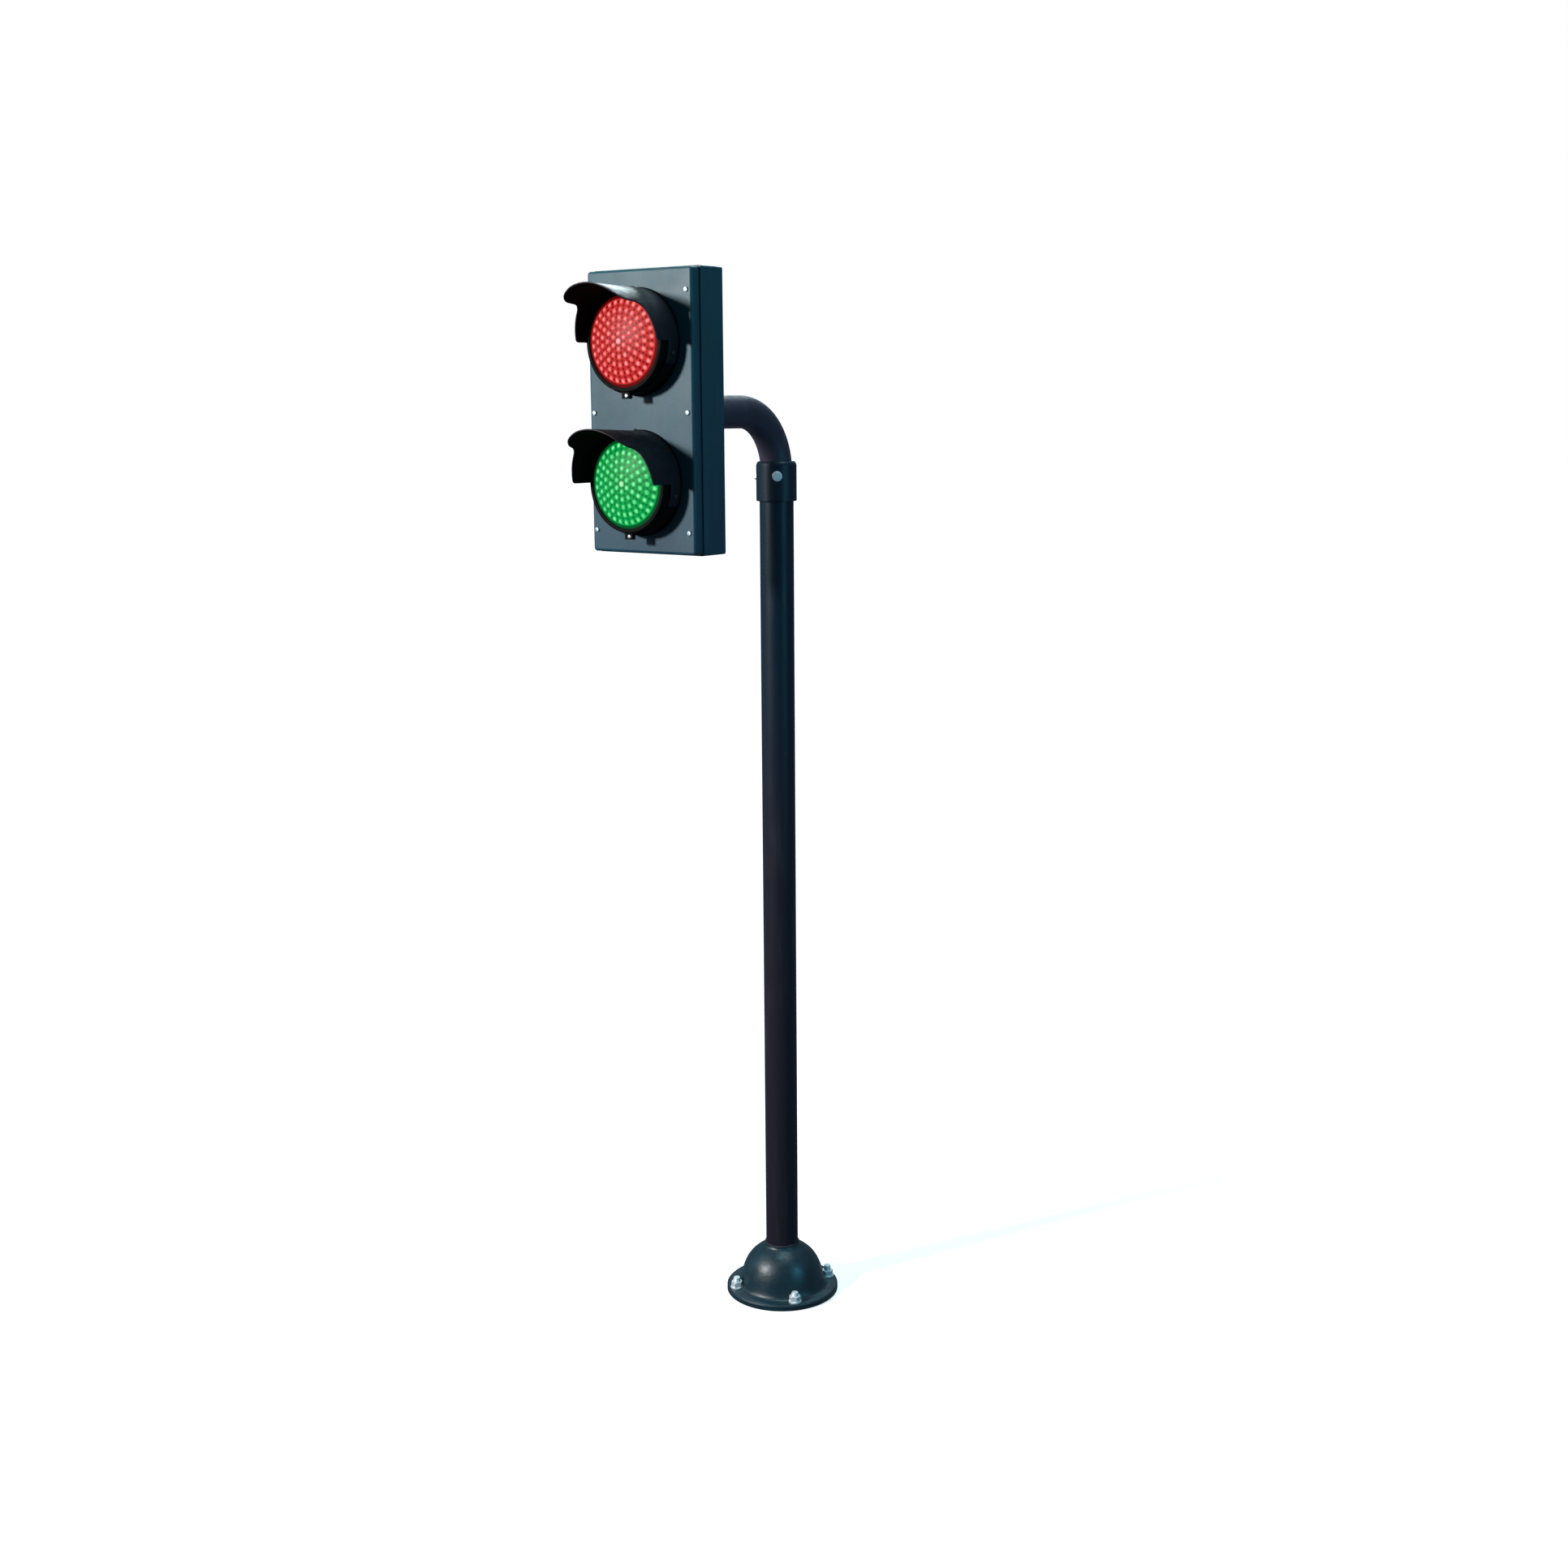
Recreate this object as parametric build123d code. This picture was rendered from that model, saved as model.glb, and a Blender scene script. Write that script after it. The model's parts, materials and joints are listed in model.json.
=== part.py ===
from build123d import *
import os
from math import cos, radians, sin

# Pole-mounted two-aspect traffic signal: a domed base flange, a straight post, a swivelling
# swan-neck arm held in a collar, and a signal head with a red lamp above a green one.
# Millimetres. Origin: centre of the base flange's underside, on the post's axis.
# +Z is up along the post, and the head faces -Y.

# ---- driving dimensions -------------------------------------------------------------
POST_R = 38.05              # 76.1 mm steel tube
POST_WALL = 3.2
ARM_R = 35.0                # 70 mm steel tube
ARM_WALL = 2.9
SPIGOT_R = 30.15            # the arm's lower end, swaged down to go inside the post
SWAGE_LOW = 1904.0
SWAGE_TOP = 1924.0
ARM_Z = 2070.0              # height of the arm's level run, and of the head's middle
ARM_BEND_R = 130.0
ARM_REACH = 360.0           # post axis to the head's back

FLANGE_R = 132.5
FLANGE_T = 14.0
DOME_R = 112.0              # foot of the dome, where its fillet meets the bolting ring
HUB_TOP = 118.0
SEAT_Z = 20.0               # ledge in the flange that the post stands on
DUCT_R = 27.0               # cable way up through the flange
BOLT_PCD_R = 112.5
BOLT_HOLE_R = 8.75
BOLT_ANGLE = 52.0           # first anchor, measured from +X
BOLTS = 4
BOLT_SEAT_R = 16.5          # spot face cut into the dome's foot for each washer
WASHER_T = 2.5

COLLAR_R = 45.0
COLLAR_Z = 1875.0
COLLAR_H = 87.0
COLLAR_LEDGE_Z = 1921.0     # the post's top edge meets the collar here
COLLAR_SCREW_Z = 1930.5
COLLAR_SCREW_ANGLES = (-51.0, -171.0)
COLLAR_SCREW_R = 6.0        # M12
COLLAR_WASHER_R = 11.0
SPOT_FACE = COLLAR_R - 1.6  # flat seat of each collar screw, from the post's axis
SPIGOT_END_Z = 1800.0

HEAD_W = 280.0
HEAD_H = 570.0
HEAD_D = 95.0
BOX_D = 70.0                # rear housing; the gasket and cover make up the rest
GASKET_T = 2.0
LEDGE = 2.5                 # the cover is this much smaller than the housing on every side
SHEET = 2.5
RIM = 26.0                  # inward rim of the housing that the cover screws to
LAMP_DZ = 140.0             # lamps above and below the middle
COVER_SCREW_X = 124.0
COVER_SCREW_Z = 238.0

# levelling joint between the arm's flange and the head's back
SLOT_R = 45.0               # the levelling slots' circle
SLOT_HALF_W = 4.5
LEVEL_RANGE = 12.0
LEVEL_BOLT_R = 4.0
LEVEL_BOLTS = 4
LEVEL_SEAL_T = 1.6
STIFFENER_T = 3.0
ARM_FLANGE_T = 5.0
PLATE_T = 2.0               # equipment plate

# lamps: heights above the cover's face
LENS_R = 90.0               # visible lens
LENS_RIM_R = 95.5
LENS_RISE = 19.0
BARREL_L = 49.0             # lamp barrel, from the cover's face to its front lip
BARREL_R = 99.0
BARREL_SEAT_R = 103.0
BARREL_STEP = 34.0          # where the visor's seat ends
BEZEL_FLANGE_R = 107.0
BEZEL_SEAT = 1.5            # gasket under the bezel's flange
BEZEL_FLANGE_T = 3.0
LIP_T = 3.0
NECK_R = 96.5
CLAMP_DEPTH = 14.0
CAN_BACK = -45.0
BOARD_Z = 18.0
BOARD_T = 1.6
LED_PITCH = 15.5
LED_RINGS = 5
CLIP_SCREW_X = 3.0
CLIP_SCREW_Y = -106.0

VISOR_L = 157.0
VISOR_R = 103.3             # inside, at the barrel
VISOR_FLARE_R = 108.0       # inside, at the front edge
VISOR_T = 2.5
VISOR_CHEEK = {"red": 70.0, "green": 90.0}      # how far forward the side walls reach
VISOR_SCREW_ANGLES = (-13.0, 90.0, 193.0)
VISOR_SCREW_Z = 18.0

SWIVEL_GAP = 0.08           # running clearance of the arm in the collar
FREE_GAP = 0.35             # clearance between parts that turn without touching
PRESS_GAP = 0.05            # clearance of parts that are bonded or clamped

# worked out from the above
POST_BORE_R = POST_R - POST_WALL
FACE_Y = -(ARM_REACH + HEAD_D)
BACK_Y = -ARM_REACH
COLLAR_TOP = COLLAR_Z + COLLAR_H
BEND_Z = ARM_Z - ARM_BEND_R
COVER_W = HEAD_W - 2 * LEDGE
COVER_H = HEAD_H - 2 * LEDGE
COVER_D = HEAD_D - BOX_D - GASKET_T
LENS_SEAT = BARREL_L - LIP_T
PLATE_FRONT = SHEET + PLATE_T
LEVEL_HOLE_R = LEVEL_BOLT_R + 0.1
# distances forward from the housing's back face
STIFFENER_AT = SHEET
ARM_FLANGE_AT = STIFFENER_AT + STIFFENER_T + FREE_GAP
LEVEL_WASHER_AT = ARM_FLANGE_AT + ARM_FLANGE_T + FREE_GAP
LEVEL_NUT_AT = LEVEL_WASHER_AT + 2.0
MIN_UP = (Align.CENTER, Align.CENTER, Align.MIN)

os.makedirs("parts", exist_ok=True)


# ---- helpers ------------------------------------------------------------------------
def save(name, shape):
    export_step(shape, f"parts/{name}.step")


def group(solids):
    return Compound(children=list(solids))


def rod(r, z0, z1):
    return Pos(0, 0, z0) * Cylinder(r, z1 - z0, align=MIN_UP)


def ring(outer, inner, z0, z1):
    return rod(outer, z0, z1) - rod(inner, z0 - 1, z1 + 1)


def hexagon(across_flats, z0, z1):
    prism = extrude(RegularPolygon(across_flats / 2, 6, major_radius=False), z1 - z0)
    return Pos(0, 0, z0) * prism


def block(x, y, z, dx, dy, dz):
    """A box with its middle at x, y, z."""
    return Pos(x, y, z) * Box(dx, dy, dz)


def turned(points):
    """A solid turned about Z from (radius, height) points."""
    outline = make_face(Polyline([(r, 0, z) for r, z in points], close=True))
    return revolve(outline, Axis.Z, 360)


def around(count, radius, first, make):
    """Copies of make() on a circle about Z."""
    step = 360 / count
    return [Rot(0, 0, first + step * i) * Pos(radius, 0, 0) * make() for i in range(count)]


def facing(x, y, z):
    """A place on the head whose local +Z points forward (-Y) and local +Y up."""
    return Pos(x, y, z) * Rot(90, 0, 0)


def frame(width, height, bar, z0, z1):
    outer = Rectangle(width, height)
    inner = Rectangle(width - 2 * bar, height - 2 * bar)
    return Pos(0, 0, z0) * extrude(outer - inner, z1 - z0)


# ---- post body ----------------------------------------------------------------------
def base_flange():
    """Cast flange: flat bolting ring, filleted full dome, and a neck that closes on the post."""
    edge = 3.0
    neck_r = POST_R + 3.5
    foot = ((DOME_R, FLANGE_T), (96, FLANGE_T), (95, 38))
    shoulder = ((104, 84), (63, 105))
    neck = ((neck_r, 106), (neck_r, HUB_TOP))
    with BuildSketch(Plane.XZ) as half:
        with BuildLine():
            Polyline(
                (0, 0),
                (FLANGE_R - 1, 0),
                (FLANGE_R, 1),
                (FLANGE_R, FLANGE_T - edge),
                (FLANGE_R - edge, FLANGE_T),
                (DOME_R, FLANGE_T),
            )
            Bezier(*foot, *shoulder, *neck)
            Polyline((neck_r, HUB_TOP), (0, HUB_TOP), (0, 0))
        make_face()
    body = revolve(half.sketch, Axis.Z, 360)
    body -= rod(DUCT_R, -1, SEAT_Z + 1)
    body -= rod(POST_R + PRESS_GAP, SEAT_Z, HUB_TOP + 1)

    def bolt_cut():
        return rod(BOLT_HOLE_R, -1, FLANGE_T + 1) + rod(BOLT_SEAT_R, FLANGE_T, HUB_TOP)

    for cut in around(BOLTS, BOLT_PCD_R, BOLT_ANGLE, bolt_cut):
        body -= cut
    return body


def anchor_washers():
    def washer():
        return ring(15, BOLT_HOLE_R, FLANGE_T, FLANGE_T + WASHER_T)

    return around(BOLTS, BOLT_PCD_R, BOLT_ANGLE, washer)


def anchor_nuts():
    """M16 nuts, chamfered, bored clear of a plain stud."""
    low = FLANGE_T + WASHER_T
    high = low + 13
    profile = ((0, low), (12.6, low), (13.9, low + 1.2), (13.9, high - 1.8), (12.2, high), (0, high))
    cone = turned(profile)

    def nut():
        return (hexagon(24, low, high) & cone) - rod(8.3, low - 1, high + 1)

    return around(BOLTS, BOLT_PCD_R, BOLT_ANGLE, nut)


def post_tube():
    return ring(POST_R, POST_BORE_R, SEAT_Z, COLLAR_LEDGE_Z)


def collar():
    """Turned sleeve on the post's end: the arm turns in its upper bore, relieved for the bend."""
    shoulder = 9.0
    body = turned(
        [
            (POST_R + PRESS_GAP, COLLAR_Z),
            (COLLAR_R - 1, COLLAR_Z),
            (COLLAR_R, COLLAR_Z + 1),
            (COLLAR_R, COLLAR_TOP - shoulder),
            (COLLAR_R - 1.6, COLLAR_TOP - shoulder / 2.6),
            (COLLAR_R - 5, COLLAR_TOP),
            (ARM_R + 3, COLLAR_TOP),
            (ARM_R + SWIVEL_GAP, BEND_Z),
            (ARM_R + SWIVEL_GAP, COLLAR_LEDGE_Z),
            (POST_R + PRESS_GAP, COLLAR_LEDGE_Z),
        ]
    )
    for angle in COLLAR_SCREW_ANGLES:
        body -= Rot(0, 0, angle) * collar_screw_hole()
    return body


def radial(solid, z):
    """Turns a solid built along +Z so that it points outward along +X at height z."""
    return Pos(0, 0, z) * Rot(0, 90, 0) * solid


def collar_screw_hole():
    hole = rod(COLLAR_SCREW_R + PRESS_GAP, ARM_R - 5, COLLAR_R + 5)
    return radial(hole + rod(COLLAR_WASHER_R + 0.3, SPOT_FACE, COLLAR_R + 5), COLLAR_SCREW_Z)


def collar_screws():
    """M12 hexagon screws that lock the arm: backed off a hair, so that it can swivel."""
    tip = ARM_R + FREE_GAP
    seat = SPOT_FACE + 1.8
    top = seat + 7.5

    def screw():
        shank = rod(COLLAR_SCREW_R, tip, seat)
        washer = rod(COLLAR_WASHER_R, SPOT_FACE, seat)
        head = hexagon(18, seat, top) & turned(
            [(0, seat), (10.4, seat), (10.4, top - 1.3), (8.9, top), (0, top)]
        )
        return radial(shank + washer + head, COLLAR_SCREW_Z)

    return [Rot(0, 0, angle) * screw() for angle in COLLAR_SCREW_ANGLES]


def spigot_stop_ring():
    """Ring welded inside the post that the spigot stands on."""
    return ring(POST_BORE_R - PRESS_GAP, 22, SPIGOT_END_Z - 12, SPIGOT_END_Z - FREE_GAP)


# ---- arm body -----------------------------------------------------------------------
def arm_path():
    start = Vector(0, 0, SWAGE_TOP)
    bend = Vector(0, 0, BEND_Z)
    half = radians(45)
    middle = Vector(0, -ARM_BEND_R * (1 - cos(half)), BEND_Z + ARM_BEND_R * sin(half))
    level = Vector(0, -ARM_BEND_R, ARM_Z)
    end = Vector(0, BACK_Y - 18, ARM_Z)
    upright = Edge.make_line(start, bend)
    curve = Edge.make_three_point_arc(bend, middle, level)
    return Wire([upright, curve, Edge.make_line(level, end)])


def arm_tube():
    """Swept bend and level run, with a swaged spigot below, in one piece of tube."""
    section = Plane(origin=(0, 0, SWAGE_TOP)) * (Circle(ARM_R) - Circle(ARM_R - ARM_WALL))
    spigot = turned(
        [
            (SPIGOT_R, SPIGOT_END_Z),
            (SPIGOT_R, SWAGE_LOW),
            (ARM_R, SWAGE_TOP),
            (ARM_R - ARM_WALL, SWAGE_TOP),
            (SPIGOT_R - ARM_WALL, SWAGE_LOW),
            (SPIGOT_R - ARM_WALL, SPIGOT_END_Z),
        ]
    )
    return sweep(section, path=arm_path()) + spigot


def spigot_bush():
    """Centring bush on the lower end of the spigot."""
    return ring(POST_BORE_R - FREE_GAP, SPIGOT_R, SPIGOT_END_Z + 10, SPIGOT_END_Z + 50)


def on_back(solid):
    """Places a solid built along +Z, from 0 at the housing's back face, pointing forward."""
    return facing(0, BACK_Y, ARM_Z) * solid


def arm_flange():
    """Plate welded to the arm's end inside the head, with arc slots for levelling."""
    plate = ring(60, ARM_R, ARM_FLANGE_AT, ARM_FLANGE_AT + ARM_FLANGE_T)
    sweep_half = LEVEL_RANGE + 0.8
    for i in range(LEVEL_BOLTS):
        middle = 45 + i * 90
        arc = CenterArc((0, 0), SLOT_R, middle - sweep_half, 2 * sweep_half)
        slot = extrude(SlotArc(arc, 2 * SLOT_HALF_W), 20)
        plate -= Pos(0, 0, ARM_FLANGE_AT - 5) * slot
    return on_back(plate)


def arm_grommet():
    """Rubber bush in the arm's open end, round the supply cable's way."""
    front = 18.0
    plug = ring(ARM_R - ARM_WALL - 0.02, 8, front - 10, front)
    return on_back(plug + ring(ARM_R, 8, front, front + 2.5))


# ---- head body: housing and cover ---------------------------------------------------
def rear_housing():
    """Deep tray: back wall, four sides and an inward rim that the cover screws to."""
    outer = extrude(RectangleRounded(HEAD_W, HEAD_H, 5), BOX_D)
    inside = RectangleRounded(HEAD_W - 2 * SHEET, HEAD_H - 2 * SHEET, 3)
    inner = Pos(0, 0, SHEET) * extrude(inside, BOX_D - 2 * SHEET)
    mouth = extrude(Rectangle(HEAD_W - 2 * RIM, HEAD_H - 2 * RIM), BOX_D + 1)
    mouth = Pos(0, 0, SHEET + 1) * mouth
    tray = outer - inner - mouth
    tray -= rod(ARM_R + FREE_GAP, -1, SHEET + 1)
    for hole in around(LEVEL_BOLTS, SLOT_R, 45, lambda: rod(LEVEL_HOLE_R, -1, SHEET + 1)):
        tray -= hole
    for x, y in cover_screw_spots():
        tray -= Pos(x, y) * rod(3.6, BOX_D - SHEET - 1, BOX_D + 1)
    drain_hole = Rot(90, 0, 0) * rod(5.05, -10, 10)
    tray -= Pos(0, 5 - HEAD_H / 2, BOX_D / 2) * drain_hole
    return on_back(tray)


def cover_screw_spots():
    columns = (-COVER_SCREW_X, COVER_SCREW_X)
    return [(x, y) for x in columns for y in (-COVER_SCREW_Z, 0, COVER_SCREW_Z)]


def on_face(solid):
    """Places a solid built along +Z, from 0 at the cover's front face, pointing forward."""
    return facing(0, FACE_Y, ARM_Z) * solid


def front_cover():
    """Shallow lid with rounded front edges, two lamp openings and six screw holes."""
    edge = 6.0
    corner = 7.0
    outer = Pos(0, 0, -COVER_D) * extrude(RectangleRounded(COVER_W, COVER_H, corner), COVER_D)
    outer = fillet(outer.edges().group_by(Axis.Z)[-1], edge)
    inside = RectangleRounded(COVER_W - 2 * SHEET, COVER_H - 2 * SHEET, corner - SHEET)
    inner = Pos(0, 0, -COVER_D) * extrude(inside, COVER_D - SHEET)
    inner = fillet(inner.edges().group_by(Axis.Z)[-1], edge - SHEET)
    lid = outer - inner
    for side in (-1, 1):
        lid -= Pos(0, side * LAMP_DZ) * rod(BARREL_R + 0.3, -10, 5)
    for x, y in cover_screw_spots():
        lid -= Pos(x, y) * rod(2.8, -10, 5)
    return on_face(lid)


def cover_gasket():
    return on_back(frame(COVER_W - 1, COVER_H - 1, 7, BOX_D, BOX_D + GASKET_T))


def cover_screws():
    """M5 pan-head screws through the cover, with a cross recess."""

    def screw():
        head = turned([(0, 0), (5.2, 0), (5.2, 1.6), (3.8, 3.2), (0, 3.6)])
        recess = block(0, 0, 3.4, 5, 1.1, 2.4) + block(0, 0, 3.4, 1.1, 5, 2.4)
        return head + rod(2.4, BOX_D - HEAD_D - 7, 0) - recess

    return [on_face(Pos(x, y) * screw()) for x, y in cover_screw_spots()]


def cover_screw_sleeves():
    """Spacers that stop the cover bending when its screws are tightened."""
    low = BOX_D - HEAD_D
    return [on_face(Pos(x, y) * ring(5, 2.6, low, -SHEET)) for x, y in cover_screw_spots()]


def cover_insert_nuts():
    """Rivet nuts in the housing's rim."""
    back = BOX_D - 14
    nut = ring(3.5, 2.45, back, BOX_D) + ring(5, 2.45, back, BOX_D - SHEET)
    return [on_back(Pos(x, y) * nut) for x, y in cover_screw_spots()]


def drain_plug():
    place = Pos(0, BACK_Y - BOX_D / 2, ARM_Z - HEAD_H / 2)
    return place * (rod(5, 0, 6) + turned([(0, -3), (6, -3), (7.5, -1.5), (7.5, 0), (0, 0)]))


def stiffener():
    plate = ring(70, ARM_R + FREE_GAP, STIFFENER_AT, STIFFENER_AT + STIFFENER_T)
    for hole in around(LEVEL_BOLTS, SLOT_R, 45, lambda: rod(LEVEL_HOLE_R, 0, 20)):
        plate -= hole
    return on_back(plate)


def levelling_bolts():
    """M8 hexagon bolts from the head's back through the stiffener and the arm's slots."""
    seat = -LEVEL_SEAL_T

    def bolt():
        head = hexagon(13, seat - 5.3, seat) & turned(
            [(0, seat - 5.3), (6.2, seat - 5.3), (7.5, seat - 4.4), (7.5, seat), (0, seat)]
        )
        return rod(LEVEL_BOLT_R, seat, LEVEL_NUT_AT + 9) + head

    return [on_back(b) for b in around(LEVEL_BOLTS, SLOT_R, 45, bolt)]


def levelling_seals():
    def seal():
        return ring(8, LEVEL_BOLT_R + PRESS_GAP, -LEVEL_SEAL_T, 0)

    return [on_back(s) for s in around(LEVEL_BOLTS, SLOT_R, 45, seal)]


def levelling_washers():
    def washer():
        return ring(8, LEVEL_HOLE_R, LEVEL_WASHER_AT, LEVEL_NUT_AT)

    return [on_back(w) for w in around(LEVEL_BOLTS, SLOT_R, 45, washer)]


def levelling_nuts():
    def nut():
        bore = rod(LEVEL_BOLT_R, LEVEL_NUT_AT - 1, LEVEL_NUT_AT + 8)
        return hexagon(13, LEVEL_NUT_AT, LEVEL_NUT_AT + 6.5) - bore

    return [on_back(n) for n in around(LEVEL_BOLTS, SLOT_R, 45, nut)]


# ---- head body: equipment inside the housing ----------------------------------------
def equipment_plate():
    """Panel on the back wall, cut away round the arm."""
    outline = Rectangle(216, 500) - Circle(72)
    return on_back(Pos(0, 0, SHEET) * extrude(outline, PLATE_T))


def power_supply():
    """Potted supply with cooling fins and mounting ears."""
    middle_y = 150
    depth = 30
    body = block(0, middle_y, PLATE_FRONT + depth / 2, 104, 66, depth)
    for i in range(7):
        body -= block(-42 + i * 14, middle_y, PLATE_FRONT + depth, 6, 70, 10)
    body += block(0, middle_y, PLATE_FRONT + 1.5, 128, 40, 3)
    return on_back(body)


def terminal_block():
    """Six-way terminal strip with screw wells and wire mouths."""
    middle_y = -150
    ways = 6
    pitch = 12
    body = block(0, middle_y, PLATE_FRONT + 9, ways * pitch + 6, 26, 18)
    for i in range(ways):
        x = (i - (ways - 1) / 2) * pitch
        body -= Pos(x, middle_y) * rod(3, PLATE_FRONT + 12, PLATE_FRONT + 30)
        for side in (-1, 1):
            body -= block(x, middle_y + side * 13, PLATE_FRONT + 7, 5, 12, 6)
    return on_back(body)


def earth_stud():
    place = Pos(84, -60)
    stud = rod(3, PLATE_FRONT, PLATE_FRONT + 16) + hexagon(10, PLATE_FRONT, PLATE_FRONT + 5)
    return on_back(place * (stud + rod(6.5, PLATE_FRONT + 5, PLATE_FRONT + 6.5)))


# ---- lamps: local +Z points forward from the cover's face, on the lamp's axis --------
def on_lamp(solid, side):
    return facing(0, FACE_Y, ARM_Z + side * LAMP_DZ) * solid


def bezel():
    """Moulded barrel: neck through the cover, flange, visor seat and the lens lip."""
    flange_top = BEZEL_SEAT + BEZEL_FLANGE_T
    body = turned(
        [
            (NECK_R, -CLAMP_DEPTH),
            (BARREL_R, -CLAMP_DEPTH),
            (BARREL_R, BEZEL_SEAT),
            (BEZEL_FLANGE_R, BEZEL_SEAT),
            (BEZEL_FLANGE_R, flange_top - 1),
            (BEZEL_FLANGE_R - 1, flange_top),
            (BARREL_SEAT_R, flange_top),
            (BARREL_SEAT_R, BARREL_STEP),
            (BARREL_R, BARREL_STEP + 1.5),
            (BARREL_R - 0.4, BARREL_L - 1.8),
            (BARREL_R - 2, BARREL_L),
            (LENS_R + 0.8, BARREL_L),
            (LENS_R, BARREL_L - 1),
            (LENS_R, LENS_SEAT),
            (NECK_R, LENS_SEAT),
        ]
    )
    body += block(0, -104, LENS_SEAT - 6, 20, 16, 9)
    for angle in VISOR_SCREW_ANGLES:
        pilot = radial(rod(2.05, BARREL_SEAT_R - 5, BARREL_SEAT_R + 5), VISOR_SCREW_Z)
        body -= Rot(0, 0, angle) * pilot
    return body - Pos(CLIP_SCREW_X, CLIP_SCREW_Y) * rod(2.05, LENS_SEAT - 8, LENS_SEAT + 5)


def clip_screw():
    """Bright screw that locks the lens barrel from below."""
    seat = LENS_SEAT - 1.5
    head = turned([(0, seat), (4.6, seat), (4.6, seat + 1.6), (3.2, seat + 2.8), (0, seat + 3.1)])
    slot = block(0, 0, seat + 3.1, 10, 1.2, 2.4)
    return Pos(CLIP_SCREW_X, CLIP_SCREW_Y) * (rod(2, seat - 6, seat) + head - slot)


def bezel_gasket():
    return ring(BEZEL_FLANGE_R - 1, BARREL_R + 0.02, 0, BEZEL_SEAT)


def clamp_ring():
    """Ring nut behind the cover, with spanner notches."""
    nut = ring(113, BARREL_R, -SHEET - 8, -SHEET)
    for notch in around(8, 113, 22.5, lambda: block(0, 0, -SHEET - 4, 8, 12, 20)):
        nut -= notch
    return nut


def lens():
    """Domed lens: a spherical shell with a plain rim behind the barrel's lip."""
    rim_top = LENS_SEAT - 0.6
    rim_low = LENS_SEAT - 8
    dome_r = LENS_R + 1
    sphere_r = (dome_r**2 + LENS_RISE**2) / (2 * LENS_RISE)
    thick = 3.0
    centre = Pos(0, 0, rim_top + LENS_RISE - sphere_r)
    cap_zone = rod(dome_r, rim_top - 0.2, rim_top + LENS_RISE + 5)
    inner_zone = rod(dome_r - thick, rim_low - 1, rim_top + LENS_RISE + 5)
    shell = (centre * Sphere(sphere_r) & cap_zone) + rod(LENS_RIM_R, rim_low, rim_top)
    hollow = centre * Sphere(sphere_r - thick) & inner_zone
    return shell - hollow


def lens_gasket():
    return ring(LENS_RIM_R, LENS_RIM_R - 4, LENS_SEAT - 10.5, LENS_SEAT - 8)


def lamp_can():
    """Cup behind the lens, with a ledge for the board."""
    outer = NECK_R - 0.7
    wall = 2.5
    front = LENS_SEAT - 10.5
    body = rod(outer, CAN_BACK, front) - rod(outer - wall, CAN_BACK + wall, front + 1)
    body += ring(outer, 88, BOARD_Z - 4, BOARD_Z)
    return body - rod(6, CAN_BACK - 1, CAN_BACK + wall + 1)


def lamp_gland():
    """Cable gland in the can's back, with its bore."""
    nut = CAN_BACK - 5
    body = rod(5.9, CAN_BACK, CAN_BACK + 4) + hexagon(17, nut, CAN_BACK) + rod(7, nut - 7, nut)
    return body - rod(3.2, nut - 8, CAN_BACK + 5)


def led_board():
    return rod(92.5, BOARD_Z, BOARD_Z + BOARD_T)


def driver_board():
    """Lamp driver: a small board with its inductor, capacitors and connector soldered on."""
    low = -34.0
    body = block(0, 0, low, 96, 54, 1.6)
    body += Pos(-26, 8, 0) * rod(11, low, low + 16)
    body += Pos(8, 12, 0) * rod(6, low, low + 22)
    body += Pos(24, 12, 0) * rod(6, low, low + 22)
    return body + block(14, -14, low + 5, 40, 12, 10)


def leds():
    """Concentric rings of round-nosed emitters on the board."""
    base = BOARD_Z + BOARD_T

    def led():
        nose = Pos(0, 0, base + 5) * Sphere(2.5)
        return rod(2.9, base, base + 1) + rod(2.5, base, base + 5) + nose

    bodies = [led()]
    for i in range(1, LED_RINGS + 1):
        bodies += around(6 * i, LED_PITCH * i, 90, led)
    return bodies


def visor_profile(cheek):
    """Side view that keeps the visor: tab at the barrel, side wall, step and beaked peak."""
    base = BEZEL_SEAT + BEZEL_FLANGE_T + 0.3
    tab_end = BARREL_STEP - 1
    top = VISOR_FLARE_R + 10
    points = [
        (base, -45),
        (tab_end, -45),
        (tab_end, 0),
        (cheek, 0),
        (cheek + 15, 64),
        (cheek + 27, 73),
        (VISOR_L - 24, 77),
        (VISOR_L - 9, 88),
        (VISOR_L, 104),
        (VISOR_L, top),
        (base, top),
    ]
    # drawn in the Z (forward) and Y (up) plane, and extruded across the visor's width
    outline = make_face(Polyline([(0, y, z) for z, y in points], close=True))
    outline = Pos(-150, 0, 0) * outline
    return extrude(outline, 300, dir=(1, 0, 0))


def visor(cheek):
    """Hood over the lamp: a flared shell cut to its side view, with two side tabs."""
    base = BEZEL_SEAT + BEZEL_FLANGE_T + 0.3
    band = BARREL_STEP + 2
    shell = turned(
        [
            (VISOR_R, base),
            (VISOR_R + VISOR_T, base),
            (VISOR_R + VISOR_T, band),
            (VISOR_FLARE_R + VISOR_T, VISOR_L),
            (VISOR_FLARE_R, VISOR_L),
            (VISOR_R, band),
        ]
    )
    hood = shell & visor_profile(cheek)
    for angle in VISOR_SCREW_ANGLES:
        hole = radial(rod(2.2, VISOR_R - 5, VISOR_R + 10), VISOR_SCREW_Z)
        hood -= Rot(0, 0, angle) * hole
    return hood


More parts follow.
